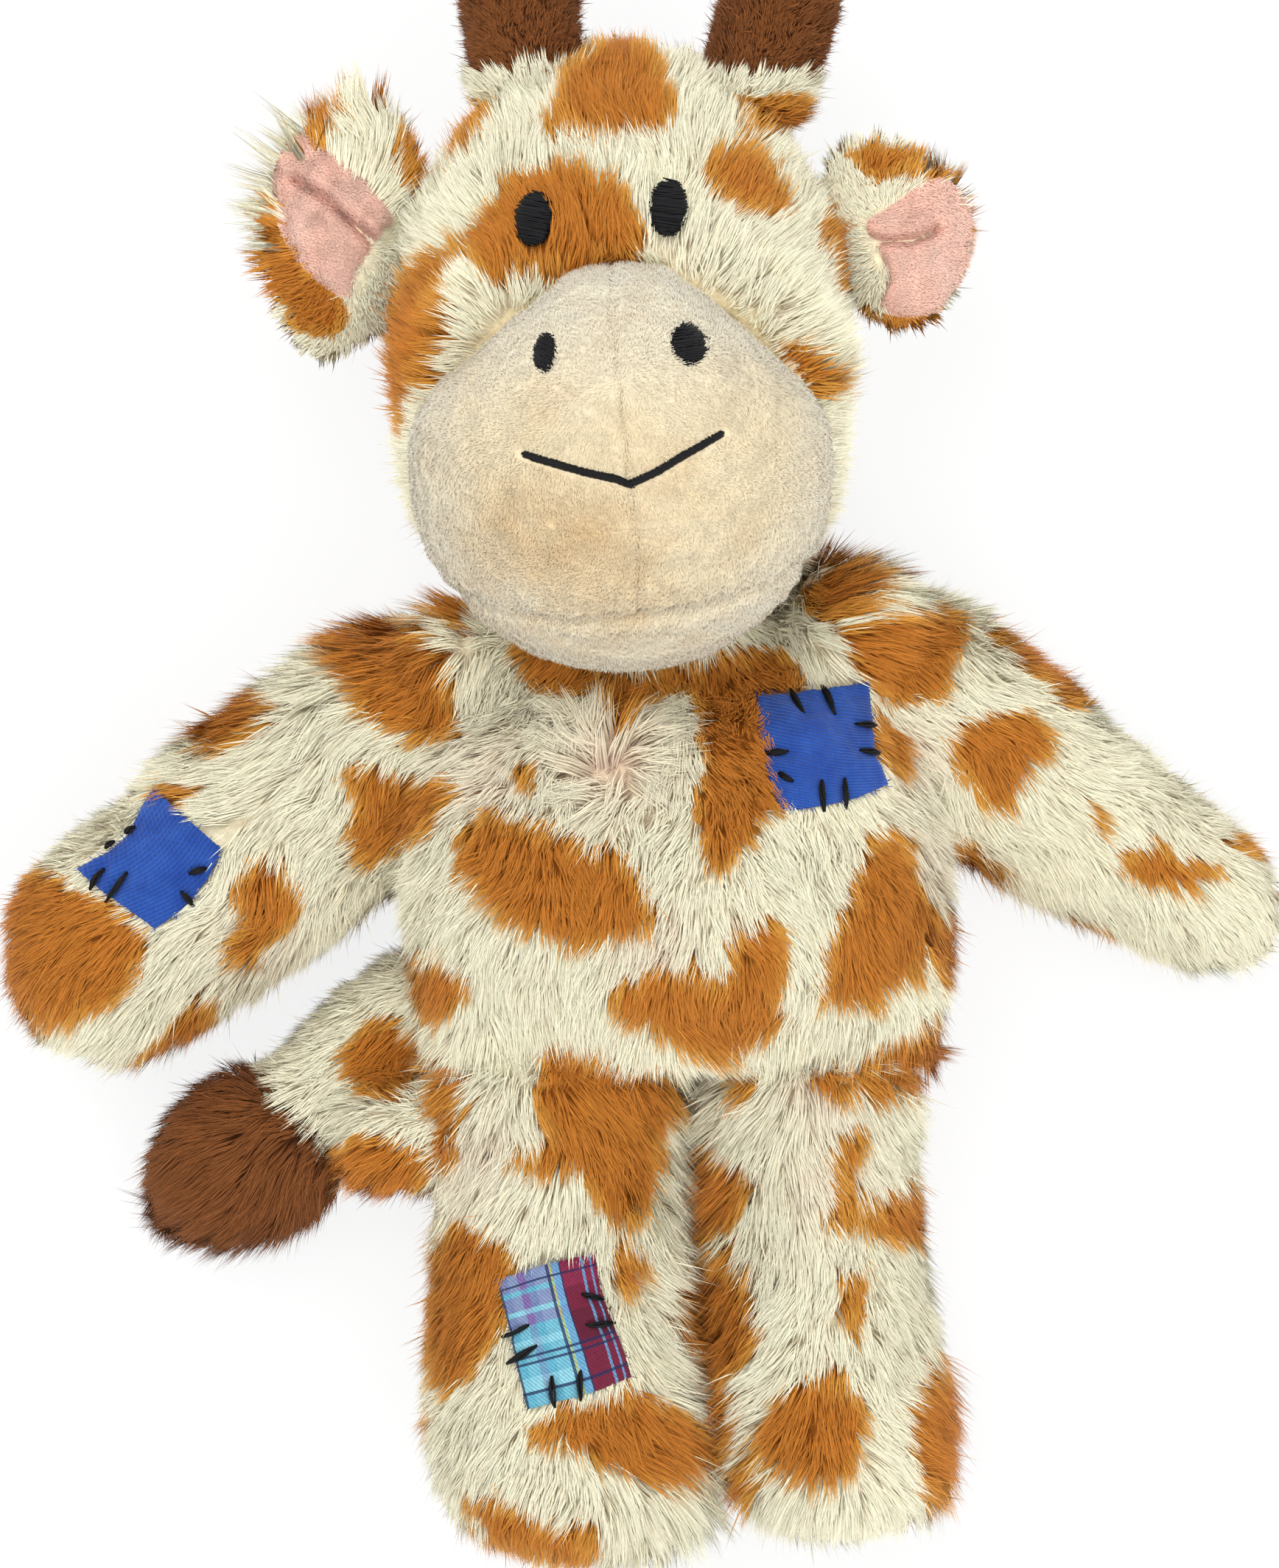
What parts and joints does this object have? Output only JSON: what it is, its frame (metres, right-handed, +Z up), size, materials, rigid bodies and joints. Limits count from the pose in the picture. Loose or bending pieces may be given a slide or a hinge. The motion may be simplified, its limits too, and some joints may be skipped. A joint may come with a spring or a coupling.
{
  "type": "plush giraffe dog toy",
  "caption": "Stuffed long-pile giraffe toy lying on its back, with jointed soft limbs, ears, horns and tail, patches and an inner squeaker.",
  "frame": {"origin": "under the middle of the toy, on the surface that its back lies on", "axes": "+Z up through the belly, +Y towards the head and horns, -Y towards the feet, -X towards the toy's own right arm"},
  "size_m": [0.273, 0.3412, 0.1121],
  "materials": {
    "spotted_plush": "long-pile plush, cream with caramel spots",
    "velour_beige": "short-pile velour",
    "velour_pink": "short-pile velour",
    "brown_plush": "dense plush",
    "blue_twill": "cotton twill",
    "plaid_twill": "woven plaid twill",
    "black_thread": "embroidery thread",
    "filling": "polyester fibre",
    "squeaker_plastic": "soft moulded plastic"
  },
  "bodies": {
    "torso": {"torso_front_panel": "spotted_plush", "torso_back_panel": "spotted_plush", "torso_filling_front": "filling", "torso_filling_back": "filling", "squeaker_base": "squeaker_plastic", "squeaker_reed": "squeaker_plastic", "chest_patch": "blue_twill"},
    "squeaker_top": {"squeaker_dome": "squeaker_plastic"},
    "head": {"head_front_panel": "spotted_plush", "head_back_panel": "spotted_plush", "head_filling": "filling", "muzzle_right_panel": "velour_beige", "muzzle_left_panel": "velour_beige", "muzzle_chin_panel": "velour_beige", "muzzle_filling": "filling", "eye_right": "black_thread", "eye_left": "black_thread", "nostril_right": "black_thread", "nostril_left": "black_thread", "mouth": "black_thread"},
    "ear_right": {"ear_right_outer": "spotted_plush", "ear_right_lining": "velour_pink"},
    "ear_left": {"ear_left_outer": "spotted_plush", "ear_left_lining": "velour_pink"},
    "horn_right": {"horn_right_cover": "brown_plush", "horn_right_filling": "filling"},
    "horn_left": {"horn_left_cover": "brown_plush", "horn_left_filling": "filling"},
    "arm_right": {"arm_right_skin": "spotted_plush", "arm_right_filling": "filling", "arm_patch": "blue_twill"},
    "arm_left": {"arm_left_skin": "spotted_plush", "arm_left_filling": "filling"},
    "leg_right": {"leg_right_skin": "spotted_plush", "leg_right_filling": "filling", "leg_patch": "plaid_twill"},
    "leg_left": {"leg_left_skin": "spotted_plush", "leg_left_filling": "filling"},
    "tail": {"tail_skin": "spotted_plush", "tail_filling": "filling", "tail_tuft": "brown_plush"}
  },
  "joints": [
    {"name": "head_nod", "type": "hinge", "parent": "torso", "child": "head", "pos_m": [-0.00191, 0.01773, 0.031], "axis": [1, 0, 0], "range_deg": [-25, 12], "stiffness_Nm_per_rad": 0.25},
    {"name": "arm_right_raise", "type": "hinge", "parent": "torso", "child": "arm_right", "pos_m": [-0.05141, 0.00273, 0.024], "axis": [0, 0, -1], "range_deg": [-5, 50], "stiffness_Nm_per_rad": 0.06},
    {"name": "arm_left_raise", "type": "hinge", "parent": "torso", "child": "arm_left", "pos_m": [0.05709, 0.01023, 0.0225], "axis": [0, 0, 1], "range_deg": [-5, 50], "stiffness_Nm_per_rad": 0.06},
    {"name": "leg_right_fold", "type": "hinge", "parent": "torso", "child": "leg_right", "pos_m": [-0.01841, -0.06527, 0.054], "axis": [-1, 0, 0], "range_deg": [0, 90], "stiffness_Nm_per_rad": 0.12},
    {"name": "leg_left_fold", "type": "hinge", "parent": "torso", "child": "leg_left", "pos_m": [0.03419, -0.06527, 0.054], "axis": [-1, 0, 0], "range_deg": [0, 90], "stiffness_Nm_per_rad": 0.12},
    {"name": "tail_lift", "type": "hinge", "parent": "torso", "child": "tail", "pos_m": [-0.05001, -0.05227, 0.015], "axis": [-0.7193, 0.6947, 0], "range_deg": [0, 30], "stiffness_Nm_per_rad": 0.05},
    {"name": "ear_right_flap", "type": "hinge", "parent": "head", "child": "ear_right", "pos_m": [-0.05291, 0.10423, 0.045], "axis": [0.2079, 0.9781, 0], "range_deg": [-25, 40], "stiffness_Nm_per_rad": 0.03},
    {"name": "ear_left_flap", "type": "hinge", "parent": "head", "child": "ear_left", "pos_m": [0.04339, 0.10573, 0.045], "axis": [0.2924, -0.9563, 0], "range_deg": [-25, 40], "stiffness_Nm_per_rad": 0.03},
    {"name": "horn_right_bend", "type": "hinge", "parent": "head", "child": "horn_right", "pos_m": [-0.02491, 0.14073, 0.047], "axis": [1, 0, 0], "range_deg": [-20, 20], "stiffness_Nm_per_rad": 0.05},
    {"name": "horn_left_bend", "type": "hinge", "parent": "head", "child": "horn_left", "pos_m": [0.02259, 0.13873, 0.047], "axis": [1, 0, 0], "range_deg": [-20, 20], "stiffness_Nm_per_rad": 0.05},
    {"name": "squeaker_squeeze", "type": "slide", "parent": "torso", "child": "squeaker_top", "axis": [0, 0, -1], "range_m": [0, 0.004], "stiffness_N_per_m": 400}
  ]
}
